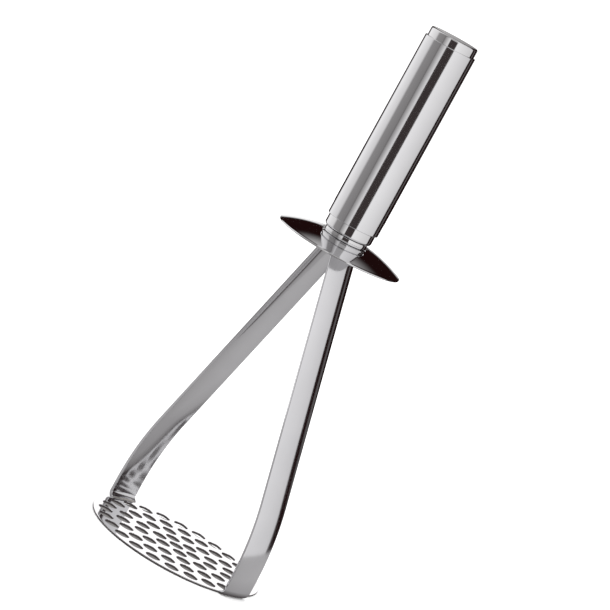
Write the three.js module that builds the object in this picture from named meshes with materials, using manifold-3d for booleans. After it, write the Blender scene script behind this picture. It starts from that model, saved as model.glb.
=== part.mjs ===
// Potato ricer of the press-plate kind, all stainless steel, in millimetres.
// Frame: origin at the centre of the plate's underside, +Z up along the handle,
// +X from the left leg to the right leg. Nothing on it moves.
import * as THREE from 'three';
import { mergeVertices } from 'three/addons/utils/BufferGeometryUtils.js';
import Module from 'manifold-3d';

const wasm = await Module();
wasm.setup();

// ---- driving dimensions -------------------------------------------------
const GAP = 0.3; // clearance kept between pieces that touch
const TOTAL_HEIGHT = 270;

const PLATE_RADIUS = 43.5;
const PLATE_THICKNESS = 1;
const PLATE_EDGE_WIDTH = 0.9; // the underside rises to the rim over this width
const PLATE_EDGE_RISE = 0.5;
const HOLE_RADIUS = 3.6;
const HOLE_RING_PITCH = 9.3;
const HOLE_RINGS = 4; // ring n holds 6 n holes

const LEG_WIDTH = 17;
const LEG_THICKNESS = 1.5;
const LEG_ARCH_TOP = 2.3; // how far the middle of the strip stands out from its edges
const LEG_ARCH_FOOT = 0.83;
const LEG_ARCH_BOTTOM = 10; // heights between which the arch grows from foot to top
const LEG_ARCH_FULL = 150;
const LEG_FOOT_X = 45.2; // middle of the sheet at the strip's edges
const LEG_NECK_X = 2.4;
const LEG_LEAN = THREE.MathUtils.degToRad(17.5);
const LEG_BOW_RADIUS = 128; // slow bend between the leaning and the upright stretch
const LEG_BOW_BOTTOM = 8;
const LEG_NECK_BEND_RADIUS = 9;
const FOOT_BEND_INNER_RADIUS = 2;
const FOOT_BEND_ANGLE = THREE.MathUtils.degToRad(84);
const FOOT_CLEARANCE = 0.05; // the foot's lowest point above the plate's underside
const TANG_WIDTH = 14;
const TANG_TOP = 171.8;

const GUARD_RADIUS = 31;
const GUARD_SHEET = 0.9;
const GUARD_FLAT_RADIUS = 11.8;
const GUARD_EDGE_WIDTH = 0.4; // of the rounded rim, and how far it rounds each face
const GUARD_EDGE_ROUNDING = 0.3;
const GUARD_FLAT_TOP = 166.3;
const GUARD_RIM_TOP = 161.1;
const NECK_BORE = 8.2; // hole through guard, collar and ferrule mouth

const COLLAR_RADIUS = 10.75;
const COLLAR_HEIGHT = 1.2;

const FERRULE_RADIUS = 11.9;
const FERRULE_EDGE_RADIUS = 1.1;
const CAP_RADIUS = 11.9;
const SLEEVE_RADIUS = 12.8;
const SLEEVE_WALL = 0.8;
const SLEEVE_BOTTOM = 173.3;
const SLEEVE_TOP = 265.6;
const CAP_EDGE_RADIUS = 1;
const SPIGOT_DEPTH = 13.5; // how far ferrule and cap reach into the sleeve
const POCKET_RADIUS = 8;
const CAP_ROOF = 2.5;
const FERRULE_FLOOR = 4;
const SEAL_SECTION_RADIUS = 0.9;

const STUD_RADIUS = 3;
const STUD_TOP = 185.5;
const CORE_BOTTOM = 157;
const WASHER_RADIUS = 6.5;
const WASHER_THICKNESS = 1.2;
const NUT_ACROSS_FLATS = 10;
const NUT_HEIGHT = 5;

const FOOT_WELD_WIDTH = 0.9;
const FOOT_WELD_HEIGHT = 0.4;
const FOOT_WELD_LENGTH = 16;
const NECK_WELD_RADIUS = 0.4;
const NECK_WELD_HEIGHT = 159.6;
const NECK_WELD_HALF_LENGTH = 5;

const ROUND_STEPS = 56;
const SMALL_ROUND_STEPS = 32;
const HOLE_STEPS = 12;

// ---- heights that follow from them --------------------------------------
const SPIGOT_RADIUS = SLEEVE_RADIUS - SLEEVE_WALL - GAP;
const COLLAR_BOTTOM = GUARD_FLAT_TOP + GAP;
const FERRULE_BOTTOM = COLLAR_BOTTOM + COLLAR_HEIGHT + GAP;
const FERRULE_FLOOR_TOP = SLEEVE_BOTTOM + FERRULE_FLOOR;
const WASHER_BOTTOM = FERRULE_FLOOR_TOP + GAP;
const NUT_BOTTOM = WASHER_BOTTOM + WASHER_THICKNESS + GAP;
const SHOULDER_TOP = GUARD_FLAT_TOP - GUARD_SHEET - GAP;
const SEAL_RADIUS = SPIGOT_RADIUS - SEAL_SECTION_RADIUS - 0.05;
const SEAL_GROOVE_RADIUS = SEAL_RADIUS - SEAL_SECTION_RADIUS - GAP;
const SEAL_GROOVE_HALF = SEAL_SECTION_RADIUS + GAP;
const FERRULE_SEAL_HEIGHT = SLEEVE_BOTTOM + SPIGOT_DEPTH - 4;
const CAP_SEAL_HEIGHT = SLEEVE_TOP - SPIGOT_DEPTH + 4;

// ---- materials ----------------------------------------------------------
const steel = (color, roughness) => new THREE.MeshStandardMaterial({ color, roughness, metalness: 1 });
const polishedSteel = steel(0xd4d4d8, 0.12);
const satinSteel = steel(0xc4c4c8, 0.3);
const plainSteel = steel(0xa8a8ac, 0.45);
const weldSteel = steel(0xb0aeac, 0.4);
const sealRubber = new THREE.MeshStandardMaterial({ color: 0x303030, roughness: 0.8, metalness: 0 });

// ---- helpers ------------------------------------------------------------
const point = (x, y) => new THREE.Vector2(x, y);

// Points of a round stretch about (x, y), angles in degrees, ends included.
function arcPoints(x, y, radius, from, to, steps) {
  const points = [];
  for (let i = 0; i <= steps; i++) {
    const angle = THREE.MathUtils.degToRad(from + ((to - from) * i) / steps);
    points.push(point(x + radius * Math.cos(angle), y + radius * Math.sin(angle)));
  }
  return points;
}

// Turns an outline of (radius, height) points about Z. It runs counter-clockwise.
function turned(outline, steps = ROUND_STEPS) {
  return new THREE.LatheGeometry(outline, steps).rotateX(Math.PI / 2);
}

// A turned ring: its outline doesn't touch the axis, so it closes on itself.
function turnedRing(outline, steps) {
  return turned([...outline, outline[0].clone()], steps);
}

// A flat outline in XY, raised from one height to another.
function raised(shape, bottom, top, curveSegments = 12) {
  const settings = { depth: top - bottom, bevelEnabled: false, curveSegments };
  return new THREE.ExtrudeGeometry(shape, settings).translate(0, 0, bottom);
}

function toSolid(geometry) {
  const bare = geometry.clone();
  bare.deleteAttribute('normal');
  bare.deleteAttribute('uv');
  const merged = mergeVertices(bare, 1e-4);
  return new wasm.Manifold(new wasm.Mesh({
    numProp: 3,
    vertProperties: new Float32Array(merged.attributes.position.array),
    triVerts: new Uint32Array(merged.index.array),
  }));
}

function toGeometry(solid) {
  const mesh = solid.getMesh();
  const geometry = new THREE.BufferGeometry();
  geometry.setAttribute('position', new THREE.BufferAttribute(new Float32Array(mesh.vertProperties), 3));
  geometry.setIndex(new THREE.BufferAttribute(new Uint32Array(mesh.triVerts), 1));
  return geometry;
}

function without(geometry, cutters) {
  return toGeometry(cutters.reduce((solid, cutter) => solid.subtract(toSolid(cutter)), toSolid(geometry)));
}

const model = new THREE.Group();

function addPiece(name, geometry, material, turn = 0) {
  const mesh = new THREE.Mesh(geometry, material);
  mesh.name = name;
  mesh.rotation.z = turn;
  model.add(mesh);
}

// ---- press plate --------------------------------------------------------
function holeCentres() {
  const centres = [point(0, 0)];
  for (let ring = 1; ring <= HOLE_RINGS; ring++) {
    for (let i = 0; i < 6 * ring; i++) {
      const angle = ((i + 0.5 * ring) / (6 * ring)) * 2 * Math.PI;
      centres.push(point(ring * HOLE_RING_PITCH * Math.cos(angle), ring * HOLE_RING_PITCH * Math.sin(angle)));
    }
  }
  return centres;
}

function pressPlate() {
  const top = PLATE_THICKNESS;
  const edge = PLATE_RADIUS;
  const disc = turned([
    point(0, 0),
    point(edge - PLATE_EDGE_WIDTH, 0),
    point(edge - 0.4 * PLATE_EDGE_WIDTH, 0.35 * PLATE_EDGE_RISE),
    point(edge, PLATE_EDGE_RISE),
    point(edge, top - 0.15),
    point(edge - 0.15, top),
    point(0, top),
  ]);
  const drills = holeCentres().map((centre) => {
    const drill = new THREE.CylinderGeometry(HOLE_RADIUS, HOLE_RADIUS, 4 * top, HOLE_STEPS);
    return drill.rotateX(Math.PI / 2).translate(centre.x, centre.y, 0);
  });
  return without(disc, drills);
}

// ---- legs ---------------------------------------------------------------
// The middle of the sheet seen from the side, from the neck down to the foot.
function legCentreline() {
  const bendRadius = FOOT_BEND_INNER_RADIUS + LEG_THICKNESS / 2;
  const footBendHeight = FOOT_CLEARANCE + FOOT_BEND_INNER_RADIUS + LEG_THICKNESS;
  const bowDrop = LEG_BOW_RADIUS * Math.sin(LEG_LEAN);
  const bowOut = LEG_BOW_RADIUS * (1 - Math.cos(LEG_LEAN));
  const neckDrop = LEG_NECK_BEND_RADIUS * Math.sin(LEG_LEAN);
  const neckOut = LEG_NECK_BEND_RADIUS * (1 - Math.cos(LEG_LEAN));
  const straightOut = LEG_FOOT_X - bowOut - (LEG_NECK_X + neckOut);
  const neckBendTop = LEG_BOW_BOTTOM + bowDrop + straightOut / Math.tan(LEG_LEAN) + neckDrop;
  const lean = THREE.MathUtils.radToDeg(LEG_LEAN);
  const footBend = THREE.MathUtils.radToDeg(FOOT_BEND_ANGLE);
  const neckBend = arcPoints(LEG_NECK_X + LEG_NECK_BEND_RADIUS, neckBendTop, LEG_NECK_BEND_RADIUS,
    180, 180 + lean, 3);
  const bow = arcPoints(LEG_FOOT_X - LEG_BOW_RADIUS, LEG_BOW_BOTTOM, LEG_BOW_RADIUS, lean, 0, 8);
  const foot = arcPoints(LEG_FOOT_X - bendRadius, footBendHeight, bendRadius, 0, -footBend, 5);
  const between = neckBend.at(-1).clone().lerp(bow[0], 0.5);
  return [point(LEG_NECK_X, TANG_TOP), ...neckBend, between, ...bow, ...foot];
}

// Both faces of a sheet of the given thickness about a centreline, as one outline.
function sheetOutline(centreline, thickness) {
  const outer = [];
  const inner = [];
  centreline.forEach((at, i) => {
    const before = centreline[Math.max(i - 1, 0)];
    const after = centreline[Math.min(i + 1, centreline.length - 1)];
    const along = after.clone().sub(before).normalize();
    const across = point(-along.y, along.x).multiplyScalar(thickness / 2);
    outer.push(at.clone().add(across));
    inner.push(at.clone().sub(across));
  });
  return [...outer, ...inner.reverse()];
}

// How far a leg's middle stands out from its edges at a height.
function legArch(height) {
  const share = THREE.MathUtils.clamp((height - LEG_ARCH_BOTTOM) / (LEG_ARCH_FULL - LEG_ARCH_BOTTOM), 0, 1);
  return THREE.MathUtils.lerp(LEG_ARCH_FOOT, LEG_ARCH_TOP, share);
}

const archShare = (y) => 1 - (2 * y / LEG_WIDTH) ** 2;

function leg() {
  const side = new THREE.Shape(sheetOutline(legCentreline(), LEG_THICKNESS));
  const strip = new THREE.ExtrudeGeometry(side, { depth: LEG_WIDTH, steps: 6, bevelEnabled: false });
  strip.rotateX(Math.PI / 2).translate(0, LEG_WIDTH / 2, 0);
  const position = strip.attributes.position;
  for (let i = 0; i < position.count; i++) {
    const stand = legArch(position.getZ(i)) * archShare(position.getY(i));
    position.setX(i, position.getX(i) + stand);
  }
  const cutWidth = 4;
  const shoulders = [-1, 1].map((sign) => {
    const cutter = new THREE.BoxGeometry(20, cutWidth, 20);
    return cutter.translate(0, sign * (TANG_WIDTH + cutWidth) / 2, SHOULDER_TOP + 10);
  });
  const cope = new THREE.CylinderGeometry(PLATE_RADIUS + GAP, PLATE_RADIUS + GAP, 6, 2 * ROUND_STEPS);
  return without(strip, [...shoulders, cope.rotateX(Math.PI / 2)]);
}

// ---- neck ---------------------------------------------------------------
// Half of the room between the two leg tops, less the clearance.
const coreHalfDepth = (y) => LEG_NECK_X - LEG_THICKNESS / 2 - GAP + LEG_ARCH_TOP * archShare(y);

function neckStud() {
  const outline = [];
  const steps = 6;
  for (const sign of [1, -1]) {
    for (let i = 0; i <= steps; i++) {
      const y = sign * TANG_WIDTH * (i / steps - 0.5);
      outline.push(point(sign * coreHalfDepth(y), y));
    }
  }
  const core = raised(new THREE.Shape(outline), CORE_BOTTOM, TANG_TOP);
  const shankHeight = STUD_TOP - TANG_TOP + 2;
  const shank = new THREE.CylinderGeometry(STUD_RADIUS, STUD_RADIUS, shankHeight, SMALL_ROUND_STEPS);
  shank.rotateX(Math.PI / 2).translate(0, 0, STUD_TOP - shankHeight / 2);
  return toGeometry(toSolid(core).add(toSolid(shank)));
}

function neckWeld() {
  const middle = LEG_NECK_X + LEG_ARCH_TOP - GAP;
  const end = middle - LEG_ARCH_TOP * (1 - archShare(NECK_WELD_HALF_LENGTH));
  const path = new THREE.QuadraticBezierCurve3(
    new THREE.Vector3(end, -NECK_WELD_HALF_LENGTH, NECK_WELD_HEIGHT),
    new THREE.Vector3(2 * middle - end, 0, NECK_WELD_HEIGHT),
    new THREE.Vector3(end, NECK_WELD_HALF_LENGTH, NECK_WELD_HEIGHT),
  );
  const section = new THREE.Shape(arcPoints(0, 0, NECK_WELD_RADIUS, 0, 315, 7));
  return new THREE.ExtrudeGeometry(section, { steps: 8, extrudePath: path, bevelEnabled: false });
}

function footWeld() {
  const outer = PLATE_RADIUS;
  const bottom = PLATE_THICKNESS + GAP;
  const ring = turnedRing([
    point(outer - FOOT_WELD_WIDTH, bottom),
    point(outer, bottom),
    point(outer, bottom + FOOT_WELD_HEIGHT),
    point(outer - 0.4 * FOOT_WELD_WIDTH, bottom + FOOT_WELD_HEIGHT),
    point(outer - FOOT_WELD_WIDTH, bottom + 0.2),
  ]);
  const span = new THREE.BoxGeometry(20, FOOT_WELD_LENGTH, 4).translate(outer, 0, 0);
  return toGeometry(toSolid(ring).intersect(toSolid(span)));
}

// ---- guard and collar ---------------------------------------------------
function guardPlate() {
  const dome = new THREE.QuadraticBezierCurve(
    point(GUARD_RADIUS - GUARD_EDGE_WIDTH, GUARD_RIM_TOP),
    point(21, 165.2),
    point(GUARD_FLAT_RADIUS, GUARD_FLAT_TOP),
  ).getPoints(6);
  const under = dome.map((at) => point(at.x, at.y - GUARD_SHEET)).reverse();
  return turnedRing([
    point(NECK_BORE, GUARD_FLAT_TOP - GUARD_SHEET),
    ...under,
    point(GUARD_RADIUS, GUARD_RIM_TOP - GUARD_SHEET + GUARD_EDGE_ROUNDING),
    point(GUARD_RADIUS, GUARD_RIM_TOP - GUARD_EDGE_ROUNDING),
    ...dome,
    point(NECK_BORE, GUARD_FLAT_TOP),
  ]);
}

function guardCollar() {
  const top = COLLAR_BOTTOM + COLLAR_HEIGHT;
  return turnedRing([
    point(NECK_BORE, COLLAR_BOTTOM),
    point(COLLAR_RADIUS, COLLAR_BOTTOM),
    point(COLLAR_RADIUS, top - 0.25),
    point(COLLAR_RADIUS - 0.25, top),
    point(NECK_BORE, top),
  ]);
}

// ---- handle -------------------------------------------------------------
// The groove for a seal ring in the side of a spigot, from its lower to its upper edge.
const sealGroove = (height) => [
  point(SPIGOT_RADIUS, height - SEAL_GROOVE_HALF),
  point(SEAL_GROOVE_RADIUS, height - SEAL_GROOVE_HALF),
  point(SEAL_GROOVE_RADIUS, height + SEAL_GROOVE_HALF),
  point(SPIGOT_RADIUS, height + SEAL_GROOVE_HALF),
];

function lowerFerrule() {
  const top = SLEEVE_BOTTOM + SPIGOT_DEPTH;
  const studBore = STUD_RADIUS + GAP;
  return turnedRing([
    point(studBore, SLEEVE_BOTTOM),
    point(NECK_BORE, SLEEVE_BOTTOM),
    point(NECK_BORE, FERRULE_BOTTOM),
    ...arcPoints(FERRULE_RADIUS - FERRULE_EDGE_RADIUS, FERRULE_BOTTOM + FERRULE_EDGE_RADIUS,
      FERRULE_EDGE_RADIUS, -90, 0, 4),
    point(FERRULE_RADIUS, SLEEVE_BOTTOM),
    point(SPIGOT_RADIUS, SLEEVE_BOTTOM + 0.2),
    ...sealGroove(FERRULE_SEAL_HEIGHT),
    point(SPIGOT_RADIUS, top),
    point(POCKET_RADIUS, top),
    point(POCKET_RADIUS, FERRULE_FLOOR_TOP),
    point(studBore, FERRULE_FLOOR_TOP),
  ]);
}

function endCap() {
  const bottom = SLEEVE_TOP - SPIGOT_DEPTH;
  const edge = arcPoints(CAP_RADIUS - CAP_EDGE_RADIUS, TOTAL_HEIGHT - CAP_EDGE_RADIUS, CAP_EDGE_RADIUS,
    0, 90, 5);
  return turned([
    point(0, TOTAL_HEIGHT - CAP_ROOF),
    point(POCKET_RADIUS, TOTAL_HEIGHT - CAP_ROOF),
    point(POCKET_RADIUS, bottom),
    point(SPIGOT_RADIUS, bottom),
    ...sealGroove(CAP_SEAL_HEIGHT),
    ...edge,
    point(0, TOTAL_HEIGHT),
  ]);
}

function handleSleeve() {
  const inner = SLEEVE_RADIUS - SLEEVE_WALL;
  const bevel = 0.3;
  return turnedRing([
    point(inner, SLEEVE_BOTTOM),
    point(SLEEVE_RADIUS - bevel, SLEEVE_BOTTOM),
    point(SLEEVE_RADIUS, SLEEVE_BOTTOM + bevel),
    point(SLEEVE_RADIUS, SLEEVE_TOP - bevel),
    point(SLEEVE_RADIUS - bevel, SLEEVE_TOP),
    point(inner, SLEEVE_TOP),
  ]);
}

function sealRing(height) {
  const section = arcPoints(SEAL_RADIUS, height, SEAL_SECTION_RADIUS, 0, 315, 7);
  return turnedRing(section, SMALL_ROUND_STEPS);
}

// ---- fastening inside the handle ----------------------------------------
function studWasher() {
  return turnedRing([
    point(STUD_RADIUS + GAP, WASHER_BOTTOM),
    point(WASHER_RADIUS, WASHER_BOTTOM),
    point(WASHER_RADIUS, WASHER_BOTTOM + WASHER_THICKNESS),
    point(STUD_RADIUS + GAP, WASHER_BOTTOM + WASHER_THICKNESS),
  ], SMALL_ROUND_STEPS);
}

function studNut() {
  const hexagon = new THREE.Shape(arcPoints(0, 0, NUT_ACROSS_FLATS / Math.sqrt(3), 0, 300, 5));
  hexagon.holes.push(new THREE.Path().absarc(0, 0, STUD_RADIUS + GAP, 0, 2 * Math.PI, true));
  return raised(hexagon, NUT_BOTTOM, NUT_BOTTOM + NUT_HEIGHT);
}

// ---- assembly -----------------------------------------------------------
addPiece('press_plate', pressPlate(), polishedSteel);
for (const [side, turn] of [['right', 0], ['left', Math.PI]]) {
  addPiece(`leg_${side}`, leg(), satinSteel, turn);
  addPiece(`foot_weld_${side}`, footWeld(), weldSteel, turn);
  addPiece(`neck_weld_${side}`, neckWeld(), weldSteel, turn);
}
addPiece('neck_stud', neckStud(), plainSteel);
addPiece('guard_plate', guardPlate(), polishedSteel);
addPiece('guard_collar', guardCollar(), polishedSteel);
addPiece('lower_ferrule', lowerFerrule(), polishedSteel);
addPiece('ferrule_seal_ring', sealRing(FERRULE_SEAL_HEIGHT), sealRubber);
addPiece('stud_washer', studWasher(), plainSteel);
addPiece('stud_nut', studNut(), plainSteel);
addPiece('handle_sleeve', handleSleeve(), satinSteel);
addPiece('cap_seal_ring', sealRing(CAP_SEAL_HEIGHT), sealRubber);
addPiece('end_cap', endCap(), polishedSteel);

export default model;
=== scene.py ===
# Potato ricer: fine meshes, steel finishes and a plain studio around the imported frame.
# Blender units are metres. Outlines are written in millimetres and scaled by MM.
import math

import bmesh
import bpy
import numpy as np
from mathutils import Matrix, Vector
from mathutils.geometry import delaunay_2d_cdt


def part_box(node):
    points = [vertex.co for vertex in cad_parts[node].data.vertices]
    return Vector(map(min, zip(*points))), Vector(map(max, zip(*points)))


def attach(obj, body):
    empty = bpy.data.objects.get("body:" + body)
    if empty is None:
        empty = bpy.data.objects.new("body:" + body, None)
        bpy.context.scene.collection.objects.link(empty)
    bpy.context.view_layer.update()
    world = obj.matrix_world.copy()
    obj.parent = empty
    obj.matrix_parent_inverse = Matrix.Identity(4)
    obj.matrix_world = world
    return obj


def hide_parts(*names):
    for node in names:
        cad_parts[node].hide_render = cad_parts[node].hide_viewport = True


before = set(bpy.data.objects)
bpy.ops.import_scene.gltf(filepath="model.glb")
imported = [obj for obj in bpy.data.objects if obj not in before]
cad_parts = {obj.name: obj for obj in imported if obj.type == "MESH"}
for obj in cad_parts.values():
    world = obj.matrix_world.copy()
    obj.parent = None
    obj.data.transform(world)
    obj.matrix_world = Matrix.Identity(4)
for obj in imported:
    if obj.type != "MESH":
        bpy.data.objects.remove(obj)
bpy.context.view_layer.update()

MM = 0.001


def cad_mm(node):
    """Lowest and highest corner of a CAD node, in millimetres."""
    low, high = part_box(node)
    return low / MM, high / MM


# ---- sizes, from the frame where it has them (millimetres) ----------------
PLATE_RADIUS = cad_mm("press_plate")[1].x
PLATE_THICKNESS = cad_mm("press_plate")[1].z
PLATE_EDGE_WIDTH = 0.9
PLATE_EDGE_RISE = 0.5
PLATE_FLAT_RADIUS = PLATE_RADIUS - PLATE_EDGE_WIDTH
HOLE_RADIUS = 3.6
HOLE_CHAMFER = 0.12
HOLE_RING_PITCH = 9.3
HOLE_RINGS = 4

LEG_HALF_WIDTH = 8.3
LEG_THICKNESS = 1.5
LEG_EDGE_RADIUS = 0.3
LEG_ARCH_FOOT = 0.83
LEG_ARCH_TOP = 2.3
LEG_ARCH_HEIGHTS = (10.0, 150.0)
LEG_FOOT_X = 45.2
LEG_NECK_X = 2.4
LEG_LEAN = math.radians(17.5)
LEG_BOW_RADIUS = 128.0
LEG_BOW_BOTTOM = 8.0
LEG_NECK_BEND_RADIUS = 9.0
FOOT_BEND_RADIUS = 2.0 + LEG_THICKNESS / 2
FOOT_BEND_STEPS = 24
FOOT_CLEARANCE = 0.05
TANG_HALF_WIDTH = 6.9
TANG_TOP = cad_mm("leg_right")[1].z

GUARD_RADIUS = cad_mm("guard_plate")[1].x
GUARD_FLAT_TOP = cad_mm("guard_plate")[1].z
GUARD_SHEET = 0.9
GUARD_RIM_TOP = 161.1
GUARD_FLAT_RADIUS = 11.8
GUARD_DOME_CONTROL = (21.0, 165.2)
NECK_BORE = 8.2

COLLAR_RADIUS = cad_mm("guard_collar")[1].x
COLLAR_TOP = cad_mm("guard_collar")[1].z
FERRULE_RADIUS = 11.9
FERRULE_BOTTOM, FERRULE_TOP = cad_mm("lower_ferrule")[0].z, cad_mm("lower_ferrule")[1].z
SLEEVE_RADIUS = cad_mm("handle_sleeve")[1].x
SLEEVE_BOTTOM, SLEEVE_TOP = cad_mm("handle_sleeve")[0].z, cad_mm("handle_sleeve")[1].z
SLEEVE_WALL = 0.8
SPIGOT_RADIUS = SLEEVE_RADIUS - SLEEVE_WALL - 0.05
CAP_RADIUS = 11.9
CAP_BOTTOM, CAP_TOP = cad_mm("end_cap")[0].z, cad_mm("end_cap")[1].z
POCKET_RADIUS = 8.0

ROUND_STEPS = 144
HOLE_STEPS = 40


# ---- mesh helpers -----------------------------------------------------------
def arc(x, z, radius, start, end, steps):
    """Points of a round stretch about (x, z), angles in degrees, ends included."""
    angles = [math.radians(start + (end - start) * i / steps) for i in range(steps + 1)]
    return [(x + radius * math.cos(a), z + radius * math.sin(a)) for a in angles]


def circle(centre, radius, steps):
    turn = [2 * math.pi * i / steps for i in range(steps)]
    return [(centre[0] + radius * math.cos(a), centre[1] + radius * math.sin(a)) for a in turn]


def bezier(start, control, end, steps):
    """Points of a quadratic curve, ends included."""
    points = []
    for i in range(steps + 1):
        t = i / steps
        weights = ((1 - t) ** 2, 2 * t * (1 - t), t * t)
        blend = [sum(w * p[k] for w, p in zip(weights, (start, control, end))) for k in (0, 1)]
        points.append(tuple(blend))
    return points


def supported(outline, near=0.15, longest=1.0):
    """The closed outline with a point near both ends of each long side, to keep reflections straight."""
    points = []
    for here, there in zip(outline, outline[1:] + outline[:1]):
        points.append(here)
        length = math.dist(here, there)
        on_axis = max(here[0], there[0]) < 1e-6
        if length > longest and not on_axis:
            for share in (near / length, 1 - near / length):
                points.append(tuple(a + (b - a) * share for a, b in zip(here, there)))
    return points


def finish_mesh(name, bm, material, nodes, sharp_angle=34):
    """Makes the object, smooth with crisp edges, on the root body and in place of its CAD nodes."""
    bmesh.ops.recalc_face_normals(bm, faces=bm.faces)
    mesh = bpy.data.meshes.new(name)
    bm.to_mesh(mesh)
    bm.free()
    mesh.shade_smooth()
    mesh.set_sharp_from_angle(angle=math.radians(sharp_angle))
    mesh.materials.append(material)
    piece = bpy.data.objects.new(name, mesh)
    bpy.context.scene.collection.objects.link(piece)
    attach(piece, "root")
    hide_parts(*nodes)
    return piece


def turned_mesh(outline, steps=ROUND_STEPS):
    """A bmesh of a closed (radius, height) outline turned about Z."""
    bm = bmesh.new()
    rings = []
    for radius, height in supported(outline):
        if radius < 1e-6:
            rings.append([bm.verts.new((0, 0, height * MM))])
        else:
            ring = circle((0, 0), radius, steps)
            rings.append([bm.verts.new((x * MM, y * MM, height * MM)) for x, y in ring])
    for lower, upper in zip(rings, rings[1:] + rings[:1]):
        if len(lower) == 1 and len(upper) == 1:
            continue
        for i in range(steps):
            j = (i + 1) % steps
            corners = [lower[i % len(lower)], lower[j % len(lower)]]
            corners += [upper[j % len(upper)], upper[i % len(upper)]]
            bm.faces.new(list(dict.fromkeys(corners)))
    return bm


def swept_mesh(loops, closed=False):
    """A bmesh over equal rings of points, with both ends filled unless it closes on itself."""
    bm = bmesh.new()
    rings = [[bm.verts.new(Vector(p) * MM) for p in loop] for loop in loops]
    count = len(rings[0])
    pairs = list(zip(rings, rings[1:]))
    if closed:
        pairs.append((rings[-1], rings[0]))
    for first, second in pairs:
        for i in range(count):
            j = (i + 1) % count
            bm.faces.new((first[i], first[j], second[j], second[i]))
    if not closed:
        ends = [bm.faces.new(rings[0]), bm.faces.new(rings[-1])]
        bmesh.ops.triangulate(bm, faces=ends)
    return bm


# ---- press plate --------------------------------------------------------------
def hole_centres():
    centres = [(0.0, 0.0)]
    for ring in range(1, HOLE_RINGS + 1):
        for i in range(6 * ring):
            angle = 2 * math.pi * (i + 0.5 * ring) / (6 * ring)
            radius = ring * HOLE_RING_PITCH
            centres.append((radius * math.cos(angle), radius * math.sin(angle)))
    return centres


def press_plate(material):
    """A drilled disc with chamfered holes and an edge rounded from below, as one closed skin."""
    centres = hole_centres()
    wide = HOLE_RADIUS + HOLE_CHAMFER
    loops = [circle((0, 0), PLATE_FLAT_RADIUS, ROUND_STEPS)]
    loops += [circle(centre, wide, HOLE_STEPS) for centre in centres]
    points, edges = [], []
    for loop in loops:
        first = len(points)
        points += [Vector(p) for p in loop]
        edges += [(first + i, first + (i + 1) % len(loop)) for i in range(len(loop))]
    _, _, triangles, sources, *_ = delaunay_2d_cdt(points, edges, [], 1, 1e-7)
    kept = []
    for triangle in triangles:
        corners = [sources[i][0] for i in triangle]
        holes = {(i - ROUND_STEPS) // HOLE_STEPS for i in corners}
        inside_a_hole = len(holes) == 1 and min(corners) >= ROUND_STEPS
        if not inside_a_hole:
            kept.append(corners)

    bm = bmesh.new()
    top = [bm.verts.new((p.x * MM, p.y * MM, PLATE_THICKNESS * MM)) for p in points]
    bottom = [bm.verts.new((p.x * MM, p.y * MM, 0)) for p in points]
    for triangle in kept:
        bm.faces.new([top[i] for i in triangle])
        bm.faces.new([bottom[i] for i in reversed(triangle)])

    def bridge(first, second):
        for i in range(len(first)):
            j = (i + 1) % len(first)
            bm.faces.new((first[i], first[j], second[j], second[i]))

    start = ROUND_STEPS
    for centre in centres:
        walls = []
        for height in (PLATE_THICKNESS - HOLE_CHAMFER, HOLE_CHAMFER):
            ring = circle(centre, HOLE_RADIUS, HOLE_STEPS)
            walls.append([bm.verts.new((x * MM, y * MM, height * MM)) for x, y in ring])
        upper, lower = top[start:start + HOLE_STEPS], bottom[start:start + HOLE_STEPS]
        for first, second in ((upper, walls[0]), (walls[0], walls[1]), (walls[1], lower)):
            bridge(first, second)
        start += HOLE_STEPS

    corner = 0.12
    control = (PLATE_RADIUS - 0.2 * PLATE_EDGE_WIDTH, 0.1 * PLATE_EDGE_RISE)
    rim = bezier((PLATE_FLAT_RADIUS, 0), control, (PLATE_RADIUS, PLATE_EDGE_RISE), 7)[1:]
    rim += arc(PLATE_RADIUS - corner, PLATE_THICKNESS - corner, corner, 0, 90, 4)
    before = bottom[:ROUND_STEPS]
    for radius, height in rim:
        around = circle((0, 0), radius, ROUND_STEPS)
        ring = [bm.verts.new((x * MM, y * MM, height * MM)) for x, y in around]
        bridge(before, ring)
        before = ring
    bridge(before, top[:ROUND_STEPS])
    finish_mesh("pressing_plate", bm, material, ["press_plate"])


# ---- legs -----------------------------------------------------------------------
def leg_line():
    """The middle of the leg's sheet seen from the side: x, z and length, from tang to foot."""
    foot_height = FOOT_CLEARANCE + FOOT_BEND_RADIUS + LEG_THICKNESS / 2
    bow_out = LEG_BOW_RADIUS * (1 - math.cos(LEG_LEAN))
    neck_out = LEG_NECK_BEND_RADIUS * (1 - math.cos(LEG_LEAN))
    straight_out = LEG_FOOT_X - bow_out - LEG_NECK_X - neck_out
    neck_top = (LEG_BOW_BOTTOM + (LEG_BOW_RADIUS + LEG_NECK_BEND_RADIUS) * math.sin(LEG_LEAN)
                + straight_out / math.tan(LEG_LEAN))
    lean = math.degrees(LEG_LEAN)
    inward = 6.0
    corners = [(LEG_NECK_X, TANG_TOP)]
    corners += arc(LEG_NECK_X + LEG_NECK_BEND_RADIUS, neck_top, LEG_NECK_BEND_RADIUS, 180, 180 + lean, 12)
    corners += arc(LEG_FOOT_X - LEG_BOW_RADIUS, LEG_BOW_BOTTOM, LEG_BOW_RADIUS, lean, 0, 60)
    corners += arc(LEG_FOOT_X - FOOT_BEND_RADIUS, foot_height, FOOT_BEND_RADIUS, 0, -90, FOOT_BEND_STEPS)
    corners.append((corners[-1][0] - inward, corners[-1][1]))
    line = np.array(corners)
    length = np.concatenate([[0], np.cumsum(np.hypot(*np.diff(line, axis=0).T))])
    return line[:, 0], line[:, 1], length


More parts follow.
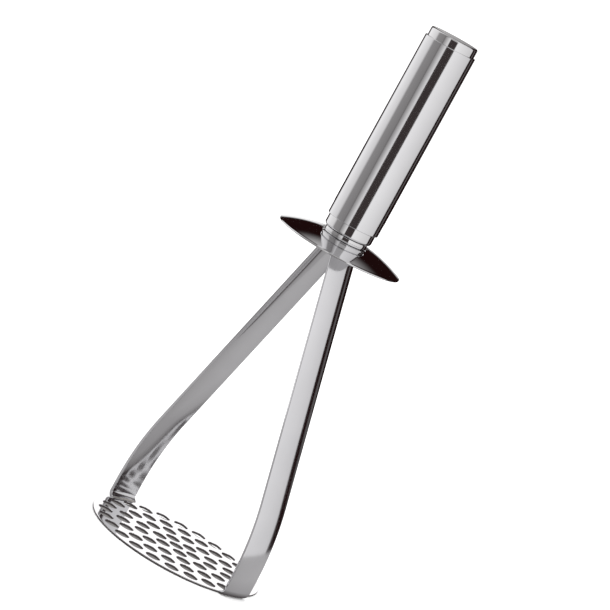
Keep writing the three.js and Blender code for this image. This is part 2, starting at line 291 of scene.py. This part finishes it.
def leg_section():
    """Points round the strip: share of the half width, step past it, offset from the sheet's middle."""
    half = LEG_THICKNESS / 2
    inner = half - LEG_EDGE_RADIUS
    shares = [math.sin(math.radians(a)) for a in range(-90, 91, 12)]
    section = [(share, 0.0, half) for share in shares]
    for y, z in arc(0, 0, LEG_EDGE_RADIUS, 90, 0, 4)[1:]:
        section.append((1.0, y, inner + z))
    for y, z in arc(0, 0, LEG_EDGE_RADIUS, 0, -90, 4)[:-1]:
        section.append((1.0, y, z - inner))
    mirrored = [(-share, -step, -offset) for share, step, offset in section]
    return section + mirrored


def leg_loops():
    """Rings of points round the strip, from the tang to the end that is coped to the plate's rim."""
    line_x, line_z, length = leg_line()
    foot_start = length[-FOOT_BEND_STEPS - 2]  # where the tight foot bend begins
    shoulder = float(np.interp(-(GUARD_FLAT_TOP - GUARD_SHEET - 0.3), -line_z, length))
    stations = [0.0, shoulder - 1.5, shoulder - 0.2, shoulder]
    stations += list(np.linspace(shoulder + 0.3, foot_start, 110))
    bend_steps = 18

    def place(s, share, step, offset):
        x, z = float(np.interp(s, length, line_x)), float(np.interp(s, length, line_z))
        near = 0.05
        dx = float(np.interp(s + near, length, line_x) - np.interp(s - near, length, line_x))
        dz = float(np.interp(s + near, length, line_z) - np.interp(s - near, length, line_z))
        along = math.hypot(dx, dz)
        width = TANG_HALF_WIDTH if s < shoulder - 0.1 else LEG_HALF_WIDTH
        y = share * (width - LEG_EDGE_RADIUS) + step
        low_arch, high_arch = LEG_ARCH_HEIGHTS
        rise = min(max((z - low_arch) / (high_arch - low_arch), 0), 1)
        arch = LEG_ARCH_FOOT + (LEG_ARCH_TOP - LEG_ARCH_FOOT) * rise
        stand = arch * (1 - (y / LEG_HALF_WIDTH) ** 2)
        slope = -2 * arch * y / LEG_HALF_WIDTH ** 2
        normal = Vector((-dz / along, slope * dz / along, dx / along)).normalized()
        return Vector((x + stand, y, z)) + normal * offset

    cope = PLATE_RADIUS + 0.03

    def cope_length(point):
        """How far down the line this point of the section meets the rim."""
        low, high = foot_start, float(length[-1])
        for _ in range(30):
            middle = (low + high) / 2
            if place(middle, *point).xy.length > cope:
                low = middle
            else:
                high = middle
        return low

    section = leg_section()
    loops = [[place(s, *point) for point in section] for s in stations]
    ends = [cope_length(point) for point in section]
    for k in range(1, bend_steps + 1):
        share = k / bend_steps
        at = [foot_start + (end - foot_start) * share for end in ends]
        loops.append([place(s, *point) for s, point in zip(at, section)])
    return loops


def legs(material):
    loops = leg_loops()
    for side, turn in (("right", 0), ("left", math.pi)):
        bm = swept_mesh(loops)
        bmesh.ops.rotate(bm, verts=bm.verts, matrix=Matrix.Rotation(turn, 3, "Z"))
        finish_mesh(f"arched_leg_{side}", bm, material, [f"leg_{side}"])


# ---- welds and the neck ------------------------------------------------------------
def foot_welds(material):
    """A low bead in the corner between plate and foot, with faint ripples and thin ends."""
    half_angle = math.asin(7.9 / PLATE_RADIUS)
    radius = 0.36
    middle = PLATE_RADIUS - 0.2
    height = PLATE_THICKNESS + 0.1
    steps = 60
    for side, turn in (("right", 0), ("left", math.pi)):
        loops = []
        for i in range(steps + 1):
            share = 2 * i / steps - 1
            angle = turn + half_angle * share
            size = math.sqrt(max(1 - share ** 6, 0.02)) * (1 + 0.06 * math.sin(i * 2.1))
            loop = []
            for r, z in arc(0, 0, radius, 0, 330, 11):
                reach = middle + r * size
                loop.append((reach * math.cos(angle), reach * math.sin(angle), height + z * size))
            loops.append(loop)
        bead = swept_mesh(loops)
        finish_mesh(f"foot_weld_bead_{side}", bead, material, [f"foot_weld_{side}"])


def neck_welds(material):
    """Small beads where the legs meet the core under the guard."""
    height = 159.6
    half_length = 5.2
    radius = 0.85
    steps = 50
    for side, sign in (("right", 1), ("left", -1)):
        loops = []
        for i in range(steps + 1):
            share = 2 * i / steps - 1
            y = half_length * share
            x = LEG_NECK_X + LEG_ARCH_TOP * (1 - (y / LEG_HALF_WIDTH) ** 2) - 0.3
            size = math.sqrt(max(1 - share ** 4, 0.02)) * (1 + 0.06 * math.sin(i * 1.9))
            section = arc(0, 0, radius, 0, 330, 11)
            loops.append([(sign * (x + a * size), sign * y, height + b * size) for a, b in section])
        bead = swept_mesh(loops)
        finish_mesh(f"neck_weld_bead_{side}", bead, material, [f"neck_weld_{side}"])


def neck_stud(material):
    """The lens-shaped core between the tangs, with its threaded shank on top."""
    low, high = cad_mm("neck_stud")
    half = high.y - 0.1
    chamfer = 0.5

    def lens(height, inset):
        ring = []
        steps = 12
        for sign in (1, -1):
            for i in range(steps + 1):
                y = sign * (half - inset) * (2 * i / steps - 1)
                arch = LEG_ARCH_TOP * (1 - (y / LEG_HALF_WIDTH) ** 2)
                depth = LEG_NECK_X - LEG_THICKNESS / 2 - 0.05 + arch
                ring.append((sign * (depth - inset), y, height))
        return ring

    core = [lens(low.z, chamfer), lens(low.z + chamfer, 0)]
    core += [lens(TANG_TOP - chamfer, 0), lens(TANG_TOP, chamfer)]
    finish_mesh("neck_core", swept_mesh(core), material, ["neck_stud"])

    pitch = 1.0
    crest, root = 3.0, 2.6
    shank = [(0, TANG_TOP), (root, TANG_TOP)]
    height = TANG_TOP
    while height + pitch < high.z:
        shank += [(root, height + 0.1 * pitch), (crest, height + 0.45 * pitch)]
        shank += [(crest, height + 0.55 * pitch), (root, height + 0.9 * pitch)]
        height += pitch
    shank += [(root, high.z - 0.3), (root - 0.4, high.z), (0, high.z)]
    finish_mesh("threaded_shank", turned_mesh(shank, steps=48), material, ["neck_stud"])


# ---- guard, collar and handle ---------------------------------------------------------
def guard(material):
    rim = GUARD_SHEET / 2
    dome_end = (GUARD_FLAT_RADIUS, GUARD_FLAT_TOP)
    dome = bezier((GUARD_RADIUS - rim, GUARD_RIM_TOP), GUARD_DOME_CONTROL, dome_end, 24)
    under = [(r, z - GUARD_SHEET) for r, z in reversed(dome)]
    outline = [(NECK_BORE, GUARD_FLAT_TOP - GUARD_SHEET), *under]
    outline += arc(GUARD_RADIUS - rim, GUARD_RIM_TOP - rim, rim, -90, 75, 9)[1:]
    outline += [*dome, (NECK_BORE, GUARD_FLAT_TOP)]
    finish_mesh("hand_guard", turned_mesh(outline, 192), material, ["guard_plate"])


def collar(material):
    edge = 0.25
    bottom = GUARD_FLAT_TOP + 0.02
    outline = [(NECK_BORE, bottom), (COLLAR_RADIUS, bottom)]
    outline += arc(COLLAR_RADIUS - edge, COLLAR_TOP - edge, edge, 0, 90, 4)
    outline += [(NECK_BORE, COLLAR_TOP)]
    finish_mesh("neck_collar", turned_mesh(outline), material, ["guard_collar"])


def seal_groove(height):
    """The groove in a spigot's side for its seal ring, from the lower to the upper edge."""
    depth, half = 2.1, 1.2
    return [(SPIGOT_RADIUS, height - half), (SPIGOT_RADIUS - depth, height - half),
            (SPIGOT_RADIUS - depth, height + half), (SPIGOT_RADIUS, height + half)]


def seal_height(node):
    low, high = cad_mm(node)
    return (low.z + high.z) / 2


def ferrule(material):
    edge = 1.1
    floor = 4.0
    bore = 3.3
    outline = [(bore, SLEEVE_BOTTOM + 1), (NECK_BORE, SLEEVE_BOTTOM + 1), (NECK_BORE, FERRULE_BOTTOM)]
    outline += arc(FERRULE_RADIUS - edge, FERRULE_BOTTOM + edge, edge, -90, 0, 6)
    outline += [(FERRULE_RADIUS, SLEEVE_BOTTOM + 0.1), (SPIGOT_RADIUS, SLEEVE_BOTTOM + 0.5)]
    outline += seal_groove(seal_height("ferrule_seal_ring"))
    outline += [(SPIGOT_RADIUS, FERRULE_TOP), (POCKET_RADIUS, FERRULE_TOP)]
    outline += [(POCKET_RADIUS, SLEEVE_BOTTOM + floor), (bore, SLEEVE_BOTTOM + floor)]
    finish_mesh("handle_ferrule", turned_mesh(outline), material, ["lower_ferrule"])


def sleeve(material):
    inner = SLEEVE_RADIUS - SLEEVE_WALL
    edge = 0.35
    outline = [(inner, SLEEVE_BOTTOM)]
    outline += arc(SLEEVE_RADIUS - edge, SLEEVE_BOTTOM + edge, edge, -90, 0, 5)
    outline += arc(SLEEVE_RADIUS - edge, SLEEVE_TOP - edge, edge, 0, 90, 5)
    outline += [(inner, SLEEVE_TOP)]
    finish_mesh("grip_tube", turned_mesh(outline), material, ["handle_sleeve"])


def cap(material):
    edge = 0.95
    roof = 2.5
    outline = [(0, CAP_TOP - roof), (POCKET_RADIUS, CAP_TOP - roof)]
    outline += [(POCKET_RADIUS, CAP_BOTTOM), (SPIGOT_RADIUS, CAP_BOTTOM)]
    outline += seal_groove(seal_height("cap_seal_ring"))
    outline += [(SPIGOT_RADIUS, SLEEVE_TOP - 0.5), (CAP_RADIUS, SLEEVE_TOP - 0.1)]
    outline += arc(CAP_RADIUS - edge, CAP_TOP - edge, edge, 0, 90, 10)
    outline += [(0, CAP_TOP)]
    finish_mesh("handle_end_cap", turned_mesh(outline), material, ["end_cap"])


def seal_rings(material):
    for node in ("ferrule_seal_ring", "cap_seal_ring"):
        low, high = cad_mm(node)
        section = (high.z - low.z) / 2
        ring = arc(high.x - section, (high.z + low.z) / 2, section, 0, 345, 23)
        finish_mesh(f"{node}_moulded", turned_mesh(ring, 96), material, [node])


def washer(material):
    low, high = cad_mm("stud_washer")
    edge = 0.2
    bore = 3.2
    outline = [(bore, low.z), *arc(high.x - edge, low.z + edge, edge, -90, 0, 3)]
    outline += [*arc(high.x - edge, high.z - edge, edge, 0, 90, 3), (bore, high.z)]
    finish_mesh("plain_washer", turned_mesh(outline, steps=72), material, ["stud_washer"])


def nut(material):
    """A hexagon with turned chamfers on both faces and a round bore."""
    low, high = cad_mm("stud_nut")
    flats = high.y
    bore = 3.05
    steps = 72
    rings = []
    for height, cut in ((low.z, 0.2), (low.z + 0.5, 1.2), (high.z - 0.5, 1.2), (high.z, 0.2)):
        ring = []
        for i in range(steps):
            angle = 2 * math.pi * i / steps
            to_flat = flats / math.cos((angle % (math.pi / 3)) - math.pi / 6)
            radius = min(to_flat, flats + cut)
            ring.append((radius * math.cos(angle), radius * math.sin(angle), height))
        rings.append(ring)
    for height in (high.z, low.z):
        rings.append([(x, y, height) for x, y in circle((0, 0), bore, steps)])
    finish_mesh("hexagon_nut", swept_mesh(rings, closed=True), material, ["stud_nut"])


# ---- materials ------------------------------------------------------------------------
def material_with_shader(name):
    material = bpy.data.materials.new(name)
    material.use_nodes = True
    return material, material.node_tree.nodes, material.node_tree.links


def noise(nodes, links, vector, scale, detail=4.0):
    texture = nodes.new("ShaderNodeTexNoise")
    texture.inputs["Scale"].default_value = scale
    texture.inputs["Detail"].default_value = detail
    links.new(vector, texture.inputs["Vector"])
    return texture.outputs["Fac"]


def ranged(nodes, links, value, low, high):
    """value from 0.3..0.7, where noise mostly lies, to low..high."""
    span = nodes.new("ShaderNodeMapRange")
    span.inputs["From Min"].default_value = 0.3
    span.inputs["From Max"].default_value = 0.7
    span.inputs["To Min"].default_value = low
    span.inputs["To Max"].default_value = high
    links.new(value, span.inputs["Value"])
    return span.outputs["Result"]


def grain_vector(nodes, links, grain):
    """Coordinates stretched along the polishing lines, as the piece was turned, drawn or rolled."""
    place = nodes.new("ShaderNodeTexCoord").outputs["Object"]
    stretch = nodes.new("ShaderNodeMapping")
    if grain == "turned":
        split = nodes.new("ShaderNodeSeparateXYZ")
        links.new(place, split.inputs["Vector"])
        flat = nodes.new("ShaderNodeCombineXYZ")
        links.new(split.outputs["X"], flat.inputs["X"])
        links.new(split.outputs["Y"], flat.inputs["Y"])
        radius = nodes.new("ShaderNodeVectorMath")
        radius.operation = "LENGTH"
        links.new(flat.outputs["Vector"], radius.inputs[0])
        joined = nodes.new("ShaderNodeCombineXYZ")
        links.new(radius.outputs["Value"], joined.inputs["X"])
        links.new(split.outputs["Y"], joined.inputs["Y"])
        links.new(split.outputs["Z"], joined.inputs["Z"])
        links.new(joined.outputs["Vector"], stretch.inputs["Vector"])
        stretch.inputs["Scale"].default_value = (1.0, 0.02, 1.0)
    else:
        links.new(place, stretch.inputs["Vector"])
        strip, sheet = (0.02, 1.0, 0.02), (1.0, 0.03, 1.0)
        stretch.inputs["Scale"].default_value = strip if grain == "strip" else sheet
    return place, stretch.outputs["Vector"]


def steel(name, grain, colours, roughness, line_scale, line_depth, cloud=0.03):
    """Stainless steel: fine lines in the normal, slow clouding in tint and roughness."""
    material, nodes, links = material_with_shader(name)
    shader = nodes["Principled BSDF"]
    shader.inputs["Metallic"].default_value = 1.0
    place, lines = grain_vector(nodes, links, grain)
    fine = noise(nodes, links, lines, line_scale)
    slow = noise(nodes, links, place, 45.0, 3.0)
    tint = nodes.new("ShaderNodeMix")
    tint.data_type = "RGBA"
    tint.inputs["A"].default_value = (*colours[0], 1)
    tint.inputs["B"].default_value = (*colours[1], 1)
    links.new(ranged(nodes, links, slow, 0.0, 1.0), tint.inputs["Factor"])
    links.new(tint.outputs["Result"], shader.inputs["Base Color"])
    both = nodes.new("ShaderNodeMath")
    both.operation = "ADD"
    links.new(ranged(nodes, links, fine, roughness[0], roughness[1]), both.inputs[0])
    links.new(ranged(nodes, links, slow, 0.0, cloud), both.inputs[1])
    links.new(both.outputs["Value"], shader.inputs["Roughness"])
    bump = nodes.new("ShaderNodeBump")
    bump.inputs["Strength"].default_value = 0.5
    bump.inputs["Distance"].default_value = line_depth * MM
    links.new(fine, bump.inputs["Height"])
    links.new(bump.outputs["Normal"], shader.inputs["Normal"])
    return material


def weld_metal():
    colours = ((0.50, 0.48, 0.46), (0.60, 0.57, 0.54))
    return steel("weld_metal", "sheet", colours, (0.28, 0.42), 1800, 0.02)


def seal_rubber():
    material, nodes, links = material_with_shader("seal_rubber")
    shader = nodes["Principled BSDF"]
    place = nodes.new("ShaderNodeTexCoord").outputs["Object"]
    speckle = noise(nodes, links, place, 2500.0)
    tint = nodes.new("ShaderNodeMix")
    tint.data_type = "RGBA"
    tint.inputs["A"].default_value = (0.012, 0.012, 0.013, 1)
    tint.inputs["B"].default_value = (0.03, 0.03, 0.031, 1)
    links.new(speckle, tint.inputs["Factor"])
    links.new(tint.outputs["Result"], shader.inputs["Base Color"])
    links.new(ranged(nodes, links, speckle, 0.55, 0.75), shader.inputs["Roughness"])
    return material


# ---- studio ------------------------------------------------------------------------------
VIEW_TURN = math.radians(40.74)  # the camera looks along +Y turned by this about Z
CAMERA_DISTANCE = 1.3
CAMERA_HEIGHT = 0.346
CAMERA_PITCH = math.radians(9.44)
CAMERA_YAW = math.radians(-0.061)
CAMERA_ROLL = math.radians(28.77)
CAMERA_LENS = 169.5
DOME_RADIUS = 3.0
FLOOR_RADIUS = 60.0
WHITE_CARD_DISTANCE = 0.3
WHITE_CARD_HALF_WIDTH = 0.1
WHITE_CARD_HEIGHTS = (0.02, 0.14)
CARD_HALF_WIDTH = 42.5  # of the grey card of painted shade under the plate, which stops short of the far holes
CARD_HALF_DEPTH = 40.0
CARD_SHIFT = 1.8


def camera():
    data = bpy.data.cameras.new("camera")
    data.lens = CAMERA_LENS
    data.sensor_width = 36
    data.clip_start = 0.05
    data.clip_end = 100
    eye = bpy.data.objects.new("camera", data)
    bpy.context.scene.collection.objects.link(eye)
    turn = Matrix.Rotation(VIEW_TURN - CAMERA_YAW, 4, "Z")
    tilt = Matrix.Rotation(math.pi / 2 - CAMERA_PITCH, 4, "X")
    roll = Matrix.Rotation(CAMERA_ROLL, 4, "Z")
    place = Matrix.Rotation(VIEW_TURN, 4, "Z") @ Vector((0, -CAMERA_DISTANCE, CAMERA_HEIGHT))
    eye.matrix_world = Matrix.Translation(place) @ turn @ tilt @ roll
    bpy.context.scene.camera = eye


def only_seen_in(obj, camera_rays, glossy_rays, diffuse_rays):
    obj.visible_camera = camera_rays
    obj.visible_glossy = glossy_rays
    obj.visible_diffuse = diffuse_rays
    obj.visible_transmission = camera_rays
    obj.visible_shadow = camera_rays


def stage_disc(name, radius, height, colour):
    """A plain matt disc facing up."""
    bm = bmesh.new()
    bmesh.ops.create_circle(bm, cap_ends=True, segments=96, radius=radius)
    bmesh.ops.translate(bm, verts=bm.verts, vec=(0, 0, height))
    mesh = bpy.data.meshes.new(name)
    bm.to_mesh(mesh)
    bm.free()
    material, nodes, _ = material_with_shader(name)
    nodes["Principled BSDF"].inputs["Base Color"].default_value = (*colour, 1)
    nodes["Principled BSDF"].inputs["Roughness"].default_value = 0.9
    nodes["Principled BSDF"].inputs["Specular IOR Level"].default_value = 0
    mesh.materials.append(material)
    disc = bpy.data.objects.new(name, mesh)
    bpy.context.scene.collection.objects.link(disc)
    return disc


# The studio is a dark room with soft panels of light round the object. Azimuths run to the right from
# the camera's side, in degrees, and a panel's brightness runs evenly from its left side to its right.
ROOM_BRIGHTNESS = 0.004
EXTRA_RED = 0.009  # which only shows where it is dark
SIDES = (-200, 200)
UPRIGHT = (-90, 110)
# Azimuths, elevations, softness of sides and of heights, brightness. Later ones cover earlier ones.
PANELS = [
    ((-139, -72), UPRIGHT, 10, 1, (1.05, 0.7)),
    ((-76, -36), UPRIGHT, 16, 1, (0.3, 0.23)),
    ((-37, -12), UPRIGHT, 2, 1, (0.26, 0.84)),
    ((-12, 22), UPRIGHT, 2, 1, (0.038, 0.038)),
    ((22, 111), UPRIGHT, 3, 1, (0.95, 0.68)),
    ((125, 133), UPRIGHT, 8, 1, (0.12, 0.12)),
    (SIDES, (-90, -21), 1, 5, (0.36, 0.36)),
    ((-16, 25), (14, 100), 4, 4, (0.42, 0.42)),
    ((158, 181), (-1, 8), 8, 6, (0.6, 0.6)),
    ((-179, -158), (-1, 12), 6, 6, (1.0, 1.0)),
    ((125, 182), (48, 100), 8, 20, (0.35, 0.35)),
    ((-182, -120), (47, 100), 8, 18, (0.5, 0.5)),
    (SIDES, (75, 100), 1, 20, (0.5, 0.5)),
]
TABLETOP_RADIUS = 0.25
TABLETOP_BRIGHTNESS = (0.28, 0.46)  # painted light on the tabletop, in front and behind, and at the sides, where the panels are
# painted shadow of the plate on the tabletop, as reflections see it
PAINTED_PLATE_SHADOW_BRIGHTNESS = 0.064


def soft_step(value, low, high, softness):
    """1 between low and high, 0 outside, with smooth edges."""
    def ramp(distance):
        t = min(max(distance / softness + 0.5, 0), 1)
        return t * t * (3 - 2 * t)
    return min(ramp(value - low), ramp(high - value))


def studio_light(azimuth, elevation):
    light = ROOM_BRIGHTNESS
    for (left, right), (bottom, top), side_softness, height_softness, brightness in PANELS:
        height_cover = soft_step(elevation, bottom, top, height_softness)
        for turned in (azimuth - 360, azimuth, azimuth + 360):
            cover = soft_step(turned, left, right, side_softness) * height_cover
            share = min(max((turned - left) / (right - left), 0), 1)
            level = brightness[0] + (brightness[1] - brightness[0]) * share
            light += (level - light) * cover
    return (light + EXTRA_RED, light, light, 1)


def glowing_sheet(name, grid, lights):
    """A sheet of light over a grid of points, which only reflections see."""
    bm = bmesh.new()
    layer = bm.loops.layers.float_color.new("light")
    points = [[bm.verts.new(place) for place in row] for row in grid]
    for i in range(len(grid) - 1):
        for j in range(len(grid[0]) - 1):
            corners = ((i, j), (i, j + 1), (i + 1, j + 1), (i + 1, j))
            face = bm.faces.new([points[a][b] for a, b in corners])
            for loop, (a, b) in zip(face.loops, corners):
                loop[layer] = lights[a][b]
    mesh = bpy.data.meshes.new(name)
    bm.to_mesh(mesh)
    bm.free()
    material, nodes, links = material_with_shader(name)
    nodes.remove(nodes["Principled BSDF"])
    glow = nodes.new("ShaderNodeEmission")
    colour = nodes.new("ShaderNodeVertexColor")
    colour.layer_name = "light"
    links.new(colour.outputs["Color"], glow.inputs["Color"])
    links.new(glow.outputs["Emission"], nodes["Material Output"].inputs["Surface"])
    material.cycles.emission_sampling = "NONE"
    mesh.materials.append(material)
    sheet = bpy.data.objects.new(name, mesh)
    bpy.context.scene.collection.objects.link(sheet)
    only_seen_in(sheet, camera_rays=False, glossy_rays=True, diffuse_rays=False)


def turned_place(azimuth, radius, height):
    """A point at an azimuth to the right of the camera's side."""
    turn = math.radians(azimuth - 90) + VIEW_TURN
    return (radius * math.cos(turn), radius * math.sin(turn), height)


def light_dome():
    """The studio's soft panels."""
    azimuths = range(-180, 181, 1)
    elevations = range(-40, 91, 1)
    grid = []
    for elevation in elevations:
        flat = DOME_RADIUS * math.cos(math.radians(elevation))
        height = DOME_RADIUS * math.sin(math.radians(elevation))
        grid.append([turned_place(azimuth, flat, height) for azimuth in azimuths])
    glowing_sheet("light_dome", grid, [[studio_light(a, e) for a in azimuths] for e in elevations])


def lit_tabletop():
    """The tabletop as reflections see it, a glowing sheet of painted light and shade: a painted shadow
    dark under the plate, grey round it.
    """
    azimuths = range(-180, 181, 5)
    # the radii and shares fade the painted shadow under the plate out to the painted light of the
    # tabletop
    radii = [0.001, 0.045, 0.049, 0.056, 0.08, TABLETOP_RADIUS]
    shares = [0, 0, 0.5, 0.85, 1, 1]
    front, side = TABLETOP_BRIGHTNESS
    lights = []
    for share in shares:
        row = []
        for azimuth in azimuths:
            # painted light: the tabletop glows brighter at the sides, where the panels would light it
            level = front + (side - front) * abs(math.sin(math.radians(azimuth)))
            light = PAINTED_PLATE_SHADOW_BRIGHTNESS + (level - PAINTED_PLATE_SHADOW_BRIGHTNESS) * share
            row.append((light + EXTRA_RED, light, light, 1))
        lights.append(row)
    grid = [[turned_place(azimuth, radius, -0.0001) for azimuth in azimuths] for radius in radii]
    glowing_sheet("painted_tabletop_light_and_shadow", grid, lights)


def pale_floor():
    floor = stage_disc("floor", FLOOR_RADIUS, -0.00005, (0.92, 0.92, 0.92))
    only_seen_in(floor, camera_rays=True, glossy_rays=False, diffuse_rays=True)


def card_under_plate():
    """What the camera sees through the plate's holes: a grey card of painted shade, where the plate's
    shadow falls on the floor.
    """
    # the card's grey is painted shade standing in for the plate's shadow on the pale floor
    card = stage_disc("painted_shade_card_under_plate", 1, 0, (0.2, 0.192, 0.19))
    only_seen_in(card, camera_rays=True, glossy_rays=False, diffuse_rays=True)
    card.visible_shadow = False
    place = Matrix.Translation(turned_place(0, CARD_SHIFT * MM, -0.00002))
    size = Matrix.Diagonal((CARD_HALF_WIDTH * MM, CARD_HALF_DEPTH * MM, 1, 1))
    card.matrix_world = place @ Matrix.Rotation(VIEW_TURN, 4, "Z") @ size


def white_card():
    """A bright card behind the object, which only reflections see."""
    card = bpy.data.objects.new("white_card_in_reflections", bpy.data.meshes.new("white_card"))
    left, right = -WHITE_CARD_HALF_WIDTH, WHITE_CARD_HALF_WIDTH
    low, high = WHITE_CARD_HEIGHTS
    around = ((left, low), (right, low), (right, high), (left, high))
    card.data.from_pydata([(x, WHITE_CARD_DISTANCE, z) for x, z in around], [], [(0, 1, 2, 3)])
    material, nodes, _ = material_with_shader("white_card")
    nodes["Principled BSDF"].inputs["Base Color"].default_value = (0, 0, 0, 1)
    nodes["Principled BSDF"].inputs["Emission Color"].default_value = (1, 0.98, 0.985, 1)
    nodes["Principled BSDF"].inputs["Emission Strength"].default_value = 1.25
    card.data.materials.append(material)
    bpy.context.scene.collection.objects.link(card)
    card.matrix_world = Matrix.Rotation(VIEW_TURN, 4, "Z")
    only_seen_in(card, camera_rays=False, glossy_rays=True, diffuse_rays=False)


def studio():
    world = bpy.data.worlds.new("studio")
    world.use_nodes = True
    background = world.node_tree.nodes["Background"]
    background.inputs["Color"].default_value = (1, 1, 1, 1)
    background.inputs["Strength"].default_value = 1.6
    bpy.context.scene.world = world
    bpy.context.scene.view_settings.view_transform = "Standard"
    pale_floor()
    card_under_plate()
    lit_tabletop()
    light_dome()
    white_card()


# ---- build ---------------------------------------------------------------------------------
POLISHED = ((0.79, 0.79, 0.80), (0.83, 0.83, 0.84))
ROLLED = ((0.76, 0.76, 0.78), (0.81, 0.81, 0.83))
DRAWN = ((0.77, 0.77, 0.785), (0.81, 0.81, 0.825))
MACHINED = ((0.5, 0.5, 0.5), (0.58, 0.57, 0.56))

camera()
polished_turned = steel("polished_turned_steel", "turned", POLISHED, (0.04, 0.07), 1600, 0.0002)
polished_sheet = steel("polished_sheet_steel", "sheet", POLISHED, (0.04, 0.07), 1200, 0.0002)
strip_steel = steel("polished_strip_steel", "strip", ROLLED, (0.07, 0.11), 1500, 0.0003)
tube_steel = steel("polished_tube_steel", "turned", DRAWN, (0.06, 0.1), 1500, 0.0003)
machined_steel = steel("machined_steel", "turned", MACHINED, (0.25, 0.4), 3000, 0.004)
welded = weld_metal()
rubber = seal_rubber()

press_plate(polished_sheet)
legs(strip_steel)
foot_welds(welded)
neck_welds(welded)
neck_stud(machined_steel)
guard(polished_turned)
collar(polished_turned)
ferrule(polished_turned)
seal_rings(rubber)
washer(machined_steel)
nut(machined_steel)
sleeve(tube_steel)
cap(polished_turned)
studio()
